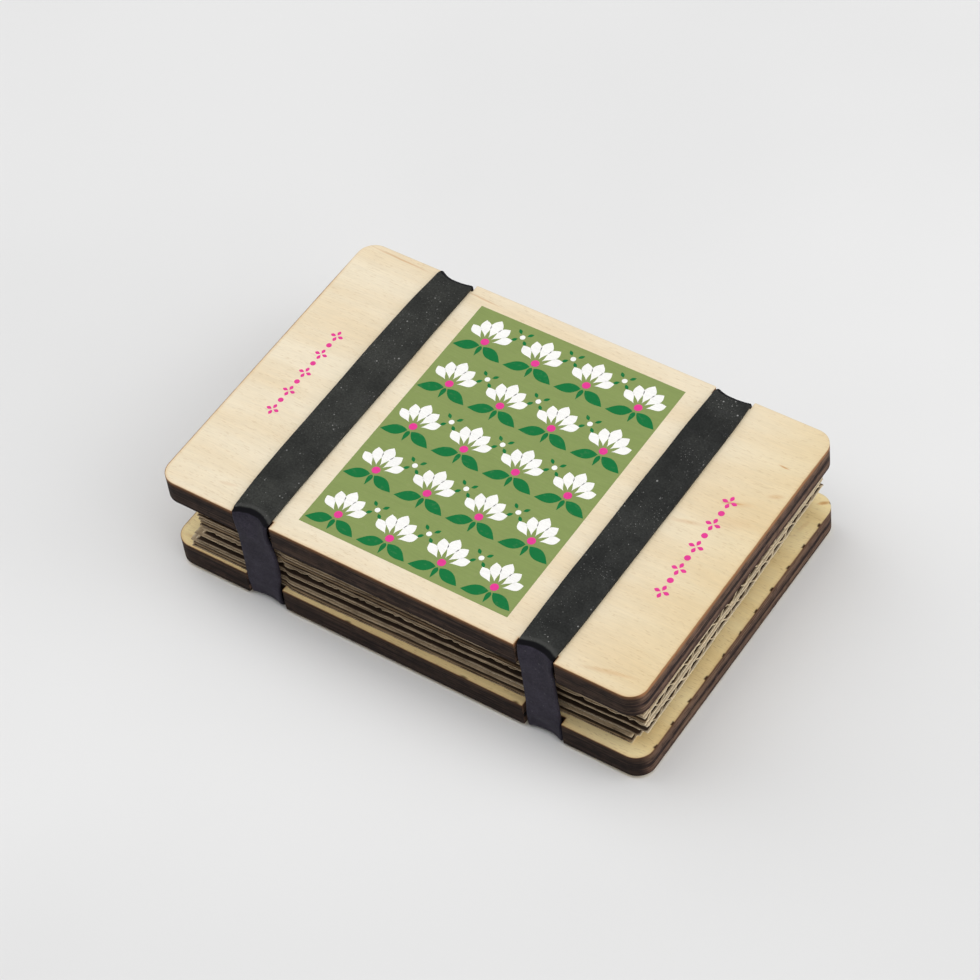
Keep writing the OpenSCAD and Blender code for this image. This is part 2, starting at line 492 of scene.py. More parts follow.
def burnt_ticks(graph, x, y, depth):
    """Mask of the ticks along the right end of a board, some longer than others."""
    uneven = graph.noise(graph.join(y, x, 0.0), *TICK_SWAY)
    swayed = graph.plus(y, graph.times(uneven, TICK_WANDER))
    phase = graph.math("DIVIDE", graph.plus(swayed, TICK_START), TICK_PITCH)
    nearest = graph.minus(phase, graph.math("ROUND", phase))
    off = graph.times(graph.math("ABSOLUTE", nearest), TICK_PITCH)
    reach = graph.times(graph.fade(uneven, 0.3, 0.7, 0.5, 1.4), TICK_REACH)
    beside = graph.fade(off, TICK_HALF * 1.3, TICK_HALF * 0.5)
    near = graph.fade(depth, reach, graph.times(reach, 0.45))
    at_end = graph.fade(x, *[BOARD_L / 2 - inset for inset in TICK_BAND])
    return graph.times(beside, near, at_end)


def marked(graph, place, face, marks, colour):
    """The face's colour with its marks on it."""
    x, y, _ = graph.split(place)
    flat_place = graph.join(x, y, 0.0)
    for middle_x, middle_y, turn, half_length, half_width, strength in marks:
        mark = graph.group(wood_mark, {
            "Vector": flat_place, "Middle": (middle_x * MM, middle_y * MM, 0.0),
            "Turn": math.radians(turn), "Half Length": half_length * MM,
            "Half Width": half_width * MM, "Wobble": half_width * MM, "Strength": strength})
        face = graph.mix(mark["Mask"], face, colour)
    return face


def plies(graph, rise, along_x):
    """Two plies with a glue line between them, at a share of the board's thickness. The glue
    shows less on the sides along the grain."""
    lower = graph.mix(graph.fade(rise, 0.02, 0.20), *LOWER_PLY)
    upper = graph.mix(graph.fade(rise, 0.58, 0.92), *UPPER_PLY)
    side = graph.mix(graph.fade(rise, 0.42, 0.52), lower, upper)
    glue = graph.times(graph.fade(rise, 0.29, 0.38), graph.fade(rise, 0.58, 0.5))
    shown = graph.minus(1.0, graph.times(along_x, 0.6))
    return graph.mix(graph.times(glue, shown), side, GLUE_LINE)


def cut_side(graph, place, low_z, along_x, rim_colour, front_char):
    """Colour and charred specks of a cut side. The sides along the grain are charred more."""
    _, _, z = graph.split(place)
    ripple = graph.minus(graph.noise(place, *PLY_RIPPLE), 0.5)
    rise = graph.plus(graph.math("DIVIDE", graph.minus(z, low_z), BOARD_T),
                      graph.times(ripple, 0.08))
    side = plies(graph, rise, along_x)
    lines = graph.noise(place, *PLY_LINES)
    side = graph.mix(graph.fade(lines, 0.48, 0.62, 0.0, 0.65), side, DARK_LINE)
    side = graph.mix(graph.fade(lines, 0.44, 0.34, 0.0, 0.4), side, PALE_LINE)
    char = graph.noise(place, *CHAR_SPECKS)
    side = graph.mix(graph.fade(char, 0.50, 0.64, 0.0, 0.55), side, DARK_CHAR)
    side = graph.mix(graph.fade(char, 0.46, 0.34, 0.0, 0.3), side, PALE_CHAR)
    streaks = graph.noise(place, *CHAR_STREAKS)
    charred = graph.times(graph.fade(streaks, 0.38, 0.6, 1.0, 0.74), front_char,
                          graph.fade(char, 0.34, 0.6, 0.92, 1.0))
    side = graph.mix(graph.times(along_x, charred), side, BURNT_BLACK)
    brink = graph.times(graph.fade(rise, 0.78, 1.0, 0.0, 0.8),
                        graph.fade(along_x, 0.0, 1.0, 1.0, 0.45))
    return graph.mix(brink, side, rim_colour), char


def scorched(graph, place, y, depth, face):
    """A face whose rim the laser scorched, least at the back."""
    sway = graph.minus(graph.noise(place, *RIM_SWAY), 0.5)
    rim = graph.plus(depth, graph.times(sway, SCORCH_SWAY))
    strength = graph.fade(y, *SCORCH_FADE, 1.0, SCORCH_AT_BACK)
    halo = graph.fade(rim, *HALO_REACH, 0.0, HALO_SHARE)
    face = graph.mix(graph.times(halo, strength), face, SCORCH_HALO)
    line = graph.fade(rim, *LINE_REACH, 0.0, LINE_SHARE)
    return graph.mix(graph.times(line, strength), face, SCORCH_LINE)


def plywood(name, low_z, pale, warm, flecks, marks, burns, aged, rim_colour, front_char):
    """Birch plywood: pale faces scorched at the rim, least at the back, and cut sides that
    the laser charred, by front_char on the sides along the grain. low_z is its underside."""
    def build(graph):
        place = graph.place()
        x, y, _ = graph.split(place)
        depth = graph.group(board_depth, {"Vector": place})["Depth"]
        grain = graph.group(wood_grain, {
            "Vector": place, "Pale": pale, "Warm": warm, "Flecks": flecks})
        darkened = graph.fade(x, AGED_FROM, AGED_TO, 0.0, aged)
        face = graph.mix(darkened, grain["Colour"], AGED_TINT, "MULTIPLY")
        face = marked(graph, place, face, marks, MARK_COLOUR)
        face = scorched(graph, place, y, depth, face)
        if burns:
            face = graph.mix(burnt_ticks(graph, x, y, depth), face, CHAR_TICK)
            face = marked(graph, place, face, burns, CHAR_TICK)

        facing = graph.split(graph.node("ShaderNodeTexCoord").outputs["Normal"])
        along_x = graph.fade(graph.math("ABSOLUTE", facing[1]), 0.3, 0.8)
        side, char = cut_side(graph, place, low_z, along_x, rim_colour, front_char)
        on_face = graph.fade(graph.math("ABSOLUTE", facing[2]), 0.4, 0.65)
        relief = graph.plus(graph.times(on_face, grain["Height"]),
                            graph.times(graph.minus(1.0, on_face), graph.times(char, 2.5)))
        return {
            "Base Color": graph.mix(on_face, side, face),
            "Roughness": graph.fade(on_face, 0.0, 1.0, 0.78, 0.56),
            "Normal": graph.bump(relief, WOOD_RELIEF, 0.5),
        }
    return material(name, build, Specular_IOR_Level=0.15)


def ink(name, colour):
    """Printing ink on the veneer, whose grain shows through a little."""
    def build(graph):
        place = graph.place()
        grain = graph.group(wood_grain, {
            "Vector": place, "Pale": colour, "Warm": colour, "Flecks": 0.12,
            "Fleck Colour": colour})
        thin = graph.noise(place, *INK_SOAK)
        soaked = graph.mix(graph.fade(thin, 0.56, 0.72, 0.0, 0.04), grain["Colour"],
                           SOAKED_WOOD)
        return {
            "Base Color": soaked,
            "Roughness": graph.fade(grain["Height"], 0.2, 0.8, 0.50, 0.62),
            "Normal": graph.bump(grain["Height"], INK_RELIEF, 0.35),
        }
    return material(name, build, Specular_IOR_Level=0.12)


def folded(graph, place, from_fold, colour):
    """The rubber's colour with a pale dusty rim above its front folds, painted as a highlight,
    and near-black painted shade in every fold, and the mask of that shade. from_fold is in
    millimetres."""
    # Painted highlight: a pale dusty rim above the folds, kept to the front ones.
    rim = graph.times(graph.fade(from_fold, *RIM_HIGHLIGHT_START), graph.fade(from_fold, *RIM_HIGHLIGHT_END))
    in_front = graph.fade(graph.split(place)[1], *RIM_HIGHLIGHT_IN_FRONT)
    rim = graph.times(rim, graph.times(in_front, RIM_HIGHLIGHT_SHARE))
    colour = graph.mix(rim, colour, DUSTY_RIM_HIGHLIGHT)
    # Painted shade: the fold is darkened to near-black rubber.
    fold_shade = graph.times(graph.fade(from_fold, *FOLD_SHADE_START),
                         graph.fade(from_fold, *FOLD_SHADE_END))
    return graph.mix(fold_shade, colour, FOLD_SHADE_RUBBER), fold_shade


def dusted(graph, from_fold, fold_shade, colour, layers):
    """The rubber's colour under layers of dust, each a mask and a colour: most on the boards'
    faces, and none in the painted shade of a fold."""
    clean = graph.minus(1.0, fold_shade)
    settled = graph.times(clean, graph.fade(from_fold, *DUST_START, SIDE_DUST_SHARE, 1.0))
    for mask, dust_colour in layers:
        colour = graph.mix(graph.times(mask, settled), colour, dust_colour)
    return colour


def rubber(name, specks, face_low, face_high):
    """Dull black rubber, dusty on the boards' faces, with painted sheen on its sides, a painted
    highlight above its front folds and near-black painted shade where it folds.
    """
    def build(graph):
        place = graph.place()
        sway = graph.minus(graph.noise(place, *FOLD_SWAY), 0.5)
        from_fold = graph.plus(graph.attribute("from_fold"), graph.times(sway, 0.5))
        coarse = graph.group(dust, {"Vector": place, "Amount": specks, **COARSE_DUST})
        fine = graph.group(dust, {
            "Vector": graph.vector("ADD", place, FINE_DUST_SHIFT),
            "Amount": specks * FINE_DUST_SHARE, **FINE_DUST})
        film = graph.fade(coarse["Clouds"], 0.3, 0.75)
        face = graph.mix(film, face_low, face_high)
        # Painted sheen: the sides take the brighter, more purple rubber.
        side = graph.mix(film, SIDE_SHEEN_RUBBER_LOW, SIDE_SHEEN_RUBBER_HIGH)
        colour = graph.mix(graph.fade(from_fold, -0.6, 0.4), side, face)
        scuffs = graph.noise(place, *RUBBER_SCUFFS)
        colour = graph.mix(graph.fade(scuffs, 0.55, 0.75, 0.0, 0.22), colour, SCUFFED_RUBBER)
        tooth = graph.noise(place, *RUBBER_TOOTH)
        colour = graph.shaded(colour, graph.fade(tooth, 0.3, 0.7, 0.80, 1.20))
        colour, fold_shade = folded(graph, place, from_fold, colour)
        colour = dusted(graph, from_fold, fold_shade, colour, (
            (coarse["Mask"], DUST_COLOUR), (fine["Mask"], FINE_DUST_COLOUR)))
        return {
            "Base Color": colour,
            "Roughness": graph.fade(scuffs, 0.3, 0.7, 0.60, 0.72),
            "Normal": graph.bump(scuffs, RUBBER_RELIEF, 0.5),
        }
    return material(name, build, Specular_IOR_Level=0.12)


def card(name, flat, cut, inside):
    """Grey-brown kraft board with pale cut edges, and painted shade: a dark colour inside the
    channels and, in part, on the long edges. The attribute cut is 1 at an end, less at a long
    edge, 0 on an outer face and -1 inside."""
    def build(graph):
        place = graph.place()
        pulp = graph.group(fibre, {"Vector": place})
        edge = graph.attribute("cut")
        colour = graph.mix(graph.fade(edge, 0.0, 1.0), flat, cut)
        # Painted shade: below 0 the colour darkens towards the inside colour.
        colour = graph.mix(graph.fade(edge, 0.1, -0.6), colour, inside)
        return {
            "Base Color": graph.shaded(colour, pulp["Shade"]),
            "Roughness": graph.fade(pulp["Height"], 0.2, 0.8, 0.82, 0.95),
            "Normal": graph.bump(pulp["Height"], CARD_RELIEF, 0.6),
        }
    return material(name, build, Specular_IOR_Level=0.2)


top_plywood = plywood(
    "birch_plywood_top", top_low.z, pale=srgb(239, 226, 200), warm=srgb(234, 216, 184),
    flecks=0.22, marks=TOP_MARKS, burns=(), aged=1.0, rim_colour=srgb(176, 122, 78),
    front_char=0.93)
# Painted light: the base board's faces are made paler and yellower than the top board's, to make
# up for the light that the top board and stack keep off its bare strip.
base_plywood = plywood(
    "birch_plywood_base", base_low.z, pale=srgb(250, 232, 182), warm=srgb(240, 216, 160),
    flecks=0.35, marks=BASE_MARKS, burns=BASE_BURNS, aged=0.0, rim_colour=srgb(92, 64, 46),
    front_char=1.0)
left_rubber = rubber("black_rubber_left", specks=0.65, face_low=srgb(42, 43, 41),
                     face_high=srgb(57, 58, 55))
right_rubber = rubber("black_rubber_right", specks=1.0, face_low=srgb(36, 37, 36),
                      face_high=srgb(53, 54, 52))
# Each card's inside colour is painted shade, for its channels and its long edges.
kraft_card = card("kraft_card", flat=srgb(182, 163, 136), cut=srgb(230, 214, 184),
                  inside=srgb(66, 51, 40))
flute_card = card("flute_card", flat=srgb(158, 134, 105), cut=srgb(206, 188, 156),
                  inside=srgb(78, 62, 48))
# The blotting paper's cut colour is darker than its face: painted shade on its recessed edges.
blotting_card = card("blotting_paper", flat=srgb(226, 217, 198), cut=srgb(186, 170, 144),
                     inside=srgb(160, 146, 122))
field_ink = ink("olive_ink", srgb(137, 153, 91))
leaf_ink = ink("green_ink", srgb(14, 117, 60))
white_ink = ink("white_ink", srgb(250, 249, 246))
pink_ink = ink("pink_ink", srgb(231, 62, 150))


# Boards

RIM_BEVEL = 0.18 * MM
RIM_BEVEL_ANGLE = 40
WELD_GAP = 0.001 * MM


def dress_board(name, finish):
    """Gives a board its plywood and takes the sharpness off its edges."""
    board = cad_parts[name]
    board.data.materials.clear()
    board.data.materials.append(finish)
    weld = board.modifiers.new("weld", "WELD")
    weld.merge_threshold = WELD_GAP
    rim = board.modifiers.new("rim", "BEVEL")
    rim.width = RIM_BEVEL
    rim.segments = 2
    rim.limit_method = "ANGLE"
    rim.angle_limit = math.radians(RIM_BEVEL_ANGLE)
    board.modifiers.new("shading", "WEIGHTED_NORMAL")


dress_board("base_board", base_plywood)
dress_board("top_board", top_plywood)


# Rubber bands

BAND_T = 1.0 * MM
BAND_HALF = 4.8 * MM
BAND_EDGE_R = 0.32 * MM
FOLD_R = 1.1 * MM
BOW = 0.8 * MM
FLARE_REACH = 7.0 * MM
FLARE_POWER = 2.2
FOLD_HALF = math.pi / 4 * (FOLD_R + BAND_T / 2)
NECK_HALF = BOARD_W / 2 - NOTCH_DEPTH + BAND_T / 2
RUN_TOP = top_high.z + BAND_T / 2
RUN_LOW = base_low.z - BAND_T / 2
RUN_STEPS = 46
SIDE_STEPS = 34
FOLD_STEPS = 10
FLAT_STEPS = 16
EDGE_STEPS = 4

# How far a band's edges wander, in millimetres, the shares of itself and its neighbours that
# each ring's edge then takes, and how far to both sides of a point its slope is measured, as
# a share of the band's half width
EDGE_WANDER = 0.05
EDGE_EASING = (0.12, 0.23, 0.3, 0.23, 0.12)
SLOPE_REACH = 0.02

# Edges of each band in millimetres from the middle of its notch: on each run, from its start
# to its end, the share of the way, the left edge and the right edge. The loop runs over the
# top to the front, down, under the base to the back, and up.
BAND_EDGES = {
    "left": {
        "top": ((0.0, -4.7, 4.4), (0.08, -5.3, 4.35), (0.25, -5.6, 4.35), (0.8, -5.6, 4.35),
                (0.93, -5.3, 4.45), (1.0, -4.75, 4.6)),
        "front": ((0.0, -4.7, 4.0), (0.15, -4.7, 3.6), (0.26, -4.7, 4.0), (0.42, -4.7, 4.6),
                  (0.65, -4.7, 4.6), (0.85, -4.7, 3.7), (1.0, -4.6, 3.4)),
        "low": ((0.0, -4.6, 3.8), (0.1, -5.1, 4.4), (0.5, -5.3, 4.5), (0.9, -5.1, 4.4),
                (1.0, -4.6, 4.2)),
        "back": ((0.0, -4.6, 3.9), (0.3, -4.6, 3.8), (0.7, -4.7, 4.2), (1.0, -4.7, 4.1)),
    },
    "right": {
        "top": ((0.0, -4.2, 4.7), (0.08, -4.5, 4.95), (0.25, -4.6, 5.0), (0.8, -4.6, 5.0),
                (0.93, -4.5, 4.95), (1.0, -4.3, 4.65)),
        "front": ((0.0, -4.3, 4.2), (0.15, -4.2, 3.9), (0.3, -4.0, 4.0), (0.5, -3.9, 4.2),
                  (0.75, -3.9, 4.4), (0.92, -4.1, 4.5), (1.0, -4.1, 4.5)),
        "low": ((0.0, -4.1, 4.2), (0.1, -4.6, 4.7), (0.5, -4.8, 4.9), (0.9, -4.6, 4.7),
                (1.0, -4.2, 4.3)),
        "back": ((0.0, -4.1, 4.1), (0.3, -3.7, 4.2), (0.7, -3.8, 4.4), (1.0, -4.1, 4.5)),
    },
}
# How far each edge stands out at a fold, in millimetres (left, right)
BAND_FLARES = {
    "left": {"front_top": (1.5, 1.6), "front_low": (0.6, 0.7), "back_low": (0.8, 0.6),
             "back_top": (1.4, 0.6)},
    "right": {"front_top": (0.9, 1.2), "front_low": (0.8, 1.0), "back_low": (0.7, 0.7),
              "back_top": (0.9, 0.5)},
}


def crowded(steps):
    """Shares from 0 to 1 that crowd towards both ends."""
    share = np.arange(steps) / steps
    return 0.5 * share + 0.5 * (0.5 - 0.5 * np.cos(np.pi * share))


def band_route(side):
    """Rings round a band's loop: y, z, edges, flares, and how far from a fold each lies, in
    millimetres, positive on the boards' faces and negative on the sides."""
    edges, flares = BAND_EDGES[side], BAND_FLARES[side]
    flat = NECK_HALF - FOLD_R
    high, low = RUN_TOP - FOLD_R, RUN_LOW + FOLD_R
    rings = []

    def straight(start, end, run, first, last, steps, sign):
        length = math.dist(start, end)
        stations = np.array(edges[run])
        for share in crowded(steps):
            y = start[0] + share * (end[0] - start[0])
            z = start[1] + share * (end[1] - start[1])
            distance = length * min(share, 1 - share)
            near = 1 - smooth(distance / FLARE_REACH)
            reach = [near * flare for flare in flares[first if share < 0.5 else last]]
            width = [np.interp(share, stations[:, 0], stations[:, k]) for k in (1, 2)]
            rings.append((y, z, *width, *reach, sign * (FOLD_HALF + distance) / MM))

    def corner(middle, start_angle, run, fold, following, sign):
        before, after = edges[run][-1][1:], edges[following][0][1:]
        for step in range(FOLD_STEPS):
            share = step / FOLD_STEPS
            angle = math.radians(start_angle + 90 * share)
            turn = smooth(share)
            width = [(1 - turn) * a + turn * b for a, b in zip(before, after)]
            rings.append((middle[0] + FOLD_R * math.cos(angle),
                          middle[1] + FOLD_R * math.sin(angle), *width, *flares[fold],
                          sign * FOLD_HALF * (1 - 2 * share) / MM))

    straight((flat, RUN_TOP), (-flat, RUN_TOP), "top", "back_top", "front_top", RUN_STEPS, 1)
    corner((-flat, high), 90, "top", "front_top", "front", 1)
    straight((-NECK_HALF, high), (-NECK_HALF, low), "front", "front_top", "front_low",
             SIDE_STEPS, -1)
    corner((-flat, low), 180, "front", "front_low", "low", -1)
    straight((-flat, RUN_LOW), (flat, RUN_LOW), "low", "front_low", "back_low", RUN_STEPS, 1)
    corner((flat, low), 270, "low", "back_low", "back", 1)
    straight((NECK_HALF, low), (NECK_HALF, high), "back", "back_low", "back_top", SIDE_STEPS,
             -1)
    corner((flat, high), 0, "back", "back_top", "top", -1)
    return np.array(rings)


def band_section():
    """Closed cross-section of a band: shares across its width, and height off its middle."""
    edge_share = BAND_EDGE_R / BAND_HALF
    across, off = [], []
    for side in (1, -1):
        for share in np.linspace(-1 + edge_share, 1 - edge_share, FLAT_STEPS):
            across.append(side * share)
            off.append(side * BAND_T / 2)
        for step in range(1, 2 * EDGE_STEPS):
            angle = math.pi / 2 - math.pi * step / (2 * EDGE_STEPS)
            bulge = math.cos(angle)
            across.append(side * (1 - edge_share + edge_share * bulge))
            off.append(side * BAND_T / 2 * math.sin(angle))
    return np.array(across), np.array(off)


def band_surface(side, rings, across):
    """Middle surface of a band, as a grid of rings by places across it."""
    y, z, left, right, left_flare, right_flare = [column[:, None] for column in rings.T[:6]]
    across = across[None, :]
    stack_low, stack_high = base_high.z, top_low.z
    bow = BOW * smooth((z - RUN_LOW) / (stack_low - RUN_LOW)) * smooth(
        (RUN_TOP - z) / (RUN_TOP - stack_high))
    flare = np.where(across < 0, left_flare, right_flare) * MM
    out = bow * smooth((np.abs(y) - NECK_HALF + FLARE_REACH) / FLARE_REACH)
    out = out + flare * np.abs(across) ** FLARE_POWER
    x = ((left + right) / 2 + across * (right - left) / 2) * MM
    centre = NOTCH_X if side == "right" else -NOTCH_X
    return np.stack(np.broadcast_arrays(centre + x, y + np.sign(y) * out, z), axis=-1)


def make_band(side, finish, rng):
    """A rubber band as one closed ring of rubber with rounded edges."""
    rings = band_route(side)
    across, off = band_section()
    total = len(rings)
    for column in (2, 3):
        wander = rings[:, column] + rng.normal(0.0, EDGE_WANDER, total)
        eased = np.convolve(np.tile(wander, 3), EDGE_EASING, "same")
        rings[:, column] = eased[total:2 * total]
    middle = band_surface(side, rings, across)
    along = np.roll(middle, -1, axis=0) - np.roll(middle, 1, axis=0)
    sideways = (band_surface(side, rings, across + SLOPE_REACH)
                - band_surface(side, rings, across - SLOPE_REACH))
    normal = np.cross(sideways, along)
    normal /= np.linalg.norm(normal, axis=-1, keepdims=True)
    points = middle + normal * off[None, :, None]
    count, size = points.shape[:2]
    faces = []
    for i in range(count):
        faces += between_rings(i * size, ((i + 1) % count) * size, size)
    from_fold = np.repeat(rings[:, 6], size)
    piece = new_piece(f"rubber_band_{side}", points.reshape(-1, 3), faces, [finish],
                      f"band_{side}", 60, {"from_fold": from_fold})
    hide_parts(f"band_{side}")
    return piece


# Sheets of the stack

CARD_COUNT = sum(name.startswith("cardboard_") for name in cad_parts)
PAPERS_PER_GAP = sum(name.startswith("blotter_1_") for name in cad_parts)
LINER_T = 0.3 * MM
LONG_STEP = 0.8 * MM
END_STEP = 0.45 * MM
SHEET_INSETS = (0.6 * MM, 3.0 * MM, 11.0 * MM)

# The attribute cut along a sheet's long sides: its middle value, how far it sways, and over
# how many points that is eased. Below 0 it darkens the long edges with painted shade.
SIDE_TINT, SIDE_TINT_SPREAD, SIDE_TINT_WINDOW = -0.12, 0.4, 5

# Torn edges: over how many points their slow waves are eased, and how sharp their tears are
EDGE_WINDOW = 13
TEAR_POWER, TEAR_MEAN = 3, 0.25

# How far a cut edge slants: along X up to a share of the sheet's roughness at its ends, and
# along Y a share of that
TEAR_SLANT, SIDE_SLANT = 0.4, 0.2

# The wavy paper: its thickness and pitch, its points along a wave, its stations from end to
# end and how they crowd towards the ends, how deep its crests sink into the liners, how full
# its waves are, how far they drift along the sheet (millimetres), how far in and how rough it
# is cut at its ends, how far its side edges wander, and its attribute cut inside and there
MEDIUM_T = 0.22 * MM
FLUTE_PITCH = 5.75 * MM
FLUTE_STEPS = 12
MEDIUM_STATIONS = 60
STATION_POWER = 1.5
CREST_BITE = 0.02 * MM
WAVE_FULLNESS = 0.85
FLUTE_DRIFT = (0.4, 1.0)
MEDIUM_CUT = 0.1 * MM
MEDIUM_ROUGH = (0.25 * MM, 0.2 * MM)
MEDIUM_WANDER = 0.2 * MM
# MEDIUM_TINT paints the wavy paper's inside surfaces dark, as painted shade.
MEDIUM_TINT, MEDIUM_SIDE_TINT = -0.6, 0.1

# Loose fibres at each liner's ends: how many, their length and radius (millimetres), their
# turn sideways and upwards, where along the end they start, and how deep they are rooted
WHISKERS_PER_EDGE = 6
WHISKER_L = (0.2, 0.5)
WHISKER_R = (0.03, 0.06)
WHISKER_SWEEP, WHISKER_LIFT = 0.9, 0.35
WHISKER_SPAN = 0.48
WHISKER_ROOT = 0.25 * MM

# How far the wavy paper stops short of each sheet's long edges, and its phase there in
# degrees: -90 closes the edge with the paper's slope, 90 leaves it open and dark
MEDIUM_EDGES = ((0.10 * MM, -80), (0.40 * MM, 50), (0.50 * MM, 70), (0.15 * MM, -70),
                (0.25 * MM, 0))

# How far the long edges stand out of their line left of the right band, but not under the
# left band, which presses them in
EDGE_OUT = 0.5 * MM
PRESSED_HALF = 4.5 * MM
PRESSED_FADE = 1.2 * MM

# How rough the cut edges are, as fine tears and slow waves: at a sheet's ends, along its
# sides, and along the sides of the sheet whose upper liner is torn
END_ROUGH = (0.10 * MM, 0.25 * MM)
SIDE_ROUGH = (0.07 * MM, 0.20 * MM)
TORN_ROUGH = (0.50 * MM, 0.25 * MM)
TORN_SHEET = 3
PAPER_ROUGH = (0.10 * MM, 0.15 * MM)
PAPER_RECESS = 0.55 * MM
PAPER_CLEAR = 0.015 * MM

rng = np.random.default_rng(SEED)

# How the layers swell: waves with a turn in x, a turn in y and a phase each, their least
# number of radians a metre and what each adds, how high they rise at the ends and the sides
# of the stack, and how far in from the boards' edges that begins and how soon it is full
SWELL_WAVES = rng.uniform(-1, 1, (CARD_COUNT + 1, 6, 3))
SWELL_LEAST, SWELL_STEP = 60, 45
SWELL_AT_END, SWELL_END_IN, SWELL_END_RAMP = 0.12 * MM, 15 * MM, 9 * MM
SWELL_AT_SIDE, SWELL_SIDE_IN, SWELL_SIDE_RAMP = 0.07 * MM, 13 * MM, 8 * MM


def swell(level, x, y):
    """How far the layers at a level of the stack rise or sink where they near their edges."""
    if level in (0, CARD_COUNT):
        return np.zeros_like(x)
    near_end = smooth((np.abs(x) - (BOARD_L / 2 - SWELL_END_IN)) / SWELL_END_RAMP)
    near_side = smooth((np.abs(y) - (BOARD_W / 2 - SWELL_SIDE_IN)) / SWELL_SIDE_RAMP)
    total = np.zeros_like(x)
    for index, (turn_x, turn_y, phase) in enumerate(SWELL_WAVES[level]):
        waves = SWELL_LEAST + SWELL_STEP * index
        total = total + np.sin(waves * (turn_x * x + turn_y * y) * 2 + 9 * phase) / 3
    return total * np.maximum(SWELL_AT_END * near_end, SWELL_AT_SIDE * near_side)


def place_of(node):
    """How a sheet's CAD node lies: its middle, turn, length, width, underside and top."""
    points = np.array([vertex.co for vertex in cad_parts[node].data.vertices])
    corners = {signs: points[np.argmax(points[:, 0] * signs[0] + points[:, 1] * signs[1])]
               for signs in ((-1, -1), (1, -1), (1, 1), (-1, 1))}
    middle = sum(corners.values()) / 4
    end = corners[(1, -1)] - corners[(-1, -1)]
    side = corners[(1, 1)] - corners[(1, -1)]
    return {
        "middle": middle[:2], "turn": math.atan2(end[1], end[0]),
        "length": math.hypot(end[0], end[1]), "width": math.hypot(side[0], side[1]),
        "low": points[:, 2].min(), "high": points[:, 2].max(),
    }


def laid(place, x, y):
    """Where a sheet's own x and y come to lie on the press."""
    cos, sin = math.cos(place["turn"]), math.sin(place["turn"])
    return place["middle"][0] + cos * x - sin * y, place["middle"][1] + sin * x + cos * y


def slow_waves(rng, count, window):
    """Random values about 0, eased over a window of neighbours."""
    beyond = window - 1
    values = rng.uniform(-1, 1, count + 2 * beyond)
    return np.convolve(values, np.ones(window) / window, "same")[beyond:-beyond]


def ragged(rng, count, fine, slow):
    """Depth of a torn or worn edge about its line: fine tears and slow waves."""
    waves = slow_waves(rng, count, EDGE_WINDOW)
    tears = rng.uniform(0, 1, count) ** TEAR_POWER - TEAR_MEAN
    return slow * waves + fine * tears


def side_counts(place):
    """How many points lie along each side of a sheet: an end, a long side, and so again."""
    end_count = int(place["width"] / END_STEP)
    long_count = int(place["length"] / LONG_STEP)
    return end_count, long_count, end_count, long_count


def stands_out(place, x):
    """How far a sheet's long edges stand out of their line at its own x."""
    x = x + place["middle"][0]
    off = np.abs(np.abs(x) - NOTCH_X)
    return np.where(x < NOTCH_X, EDGE_OUT * smooth((off - PRESSED_HALF) / PRESSED_FADE), 0.0)


def sheet_ring(place, inset, rng=None, end_rough=(0, 0), side_rough=(0, 0)):
    """Points round a sheet, so far in from its edges, and ragged where a roughness is set."""
    half_l, half_w = place["length"] / 2, place["width"] / 2
    ring = []
    for side, count in enumerate(side_counts(place)):
        at_end = side % 2 == 0
        share = np.arange(count) / count
        depth = np.full(count, inset)
        if rng is not None:
            depth = depth + ragged(rng, count, *(end_rough if at_end else side_rough))
        run = (2 * share - 1) * ((half_w if at_end else half_l) - inset)
        if not at_end:
            depth = depth - stands_out(place, run if side == 3 else -run)
        x, y = ((half_l - depth, run), (-run, half_w - depth),
                (depth - half_l, -run), (run, depth - half_w))[side]
        ring.append(np.stack([x, y], axis=1))
    return np.concatenate(ring)


def add_slab(shell, place, low, thickness, swell_at, rng, end_rough, side_rough, inset=0.0,
             inside=0):
    """A thin sheet with ragged edges, wavy near them, as rings and two flat middles. Its top
    (+1) or its underside (-1) may face the channels inside a corrugated sheet, and then takes
    the card's dark inside colour as painted shade."""
    outer = sheet_ring(place, inset, rng, end_rough, side_rough)
    count = len(outer)
    slant = (rng.uniform(0, TEAR_SLANT, (count, 1)) * end_rough[0] * np.sign(outer)
             * [1, SIDE_SLANT])
    rings = [sheet_ring(place, inset + further) for further in SHEET_INSETS]
    edge_tint = []
    for side, side_count in enumerate(side_counts(place)):
        wander = slow_waves(rng, side_count, SIDE_TINT_WINDOW)
        edge_tint += ([1.0] * side_count if side % 2 == 0
                      else (SIDE_TINT + SIDE_TINT_SPREAD * wander).tolist())
    points, tint = [], []
    for face, level, edge in ((1, low + thickness, outer), (-1, low, outer - slant)):
        for index, ring in enumerate([edge, *rings]):
            x, y = laid(place, ring[:, 0], ring[:, 1])
            points.append(np.stack([x, y, level + swell_at(x, y)], axis=1))
            # Faces towards the channels get -1, the card's dark inside colour: painted shade.
            tint += edge_tint if index == 0 else [-1.0 if face == inside else 0.0] * count
    levels = len(rings) + 1
    faces = []
    for index in range(levels - 1):
        faces += between_rings(index * count, (index + 1) * count, count)
        faces += between_rings((levels + index + 1) * count, (levels + index) * count, count)
    faces += between_rings(levels * count, 0, count)
    faces.append(list(range((levels - 1) * count, levels * count)))
    faces.append(list(range(2 * levels * count - 1, (2 * levels - 1) * count - 1, -1)))
    shell.add(np.concatenate(points).tolist(), faces, tint)


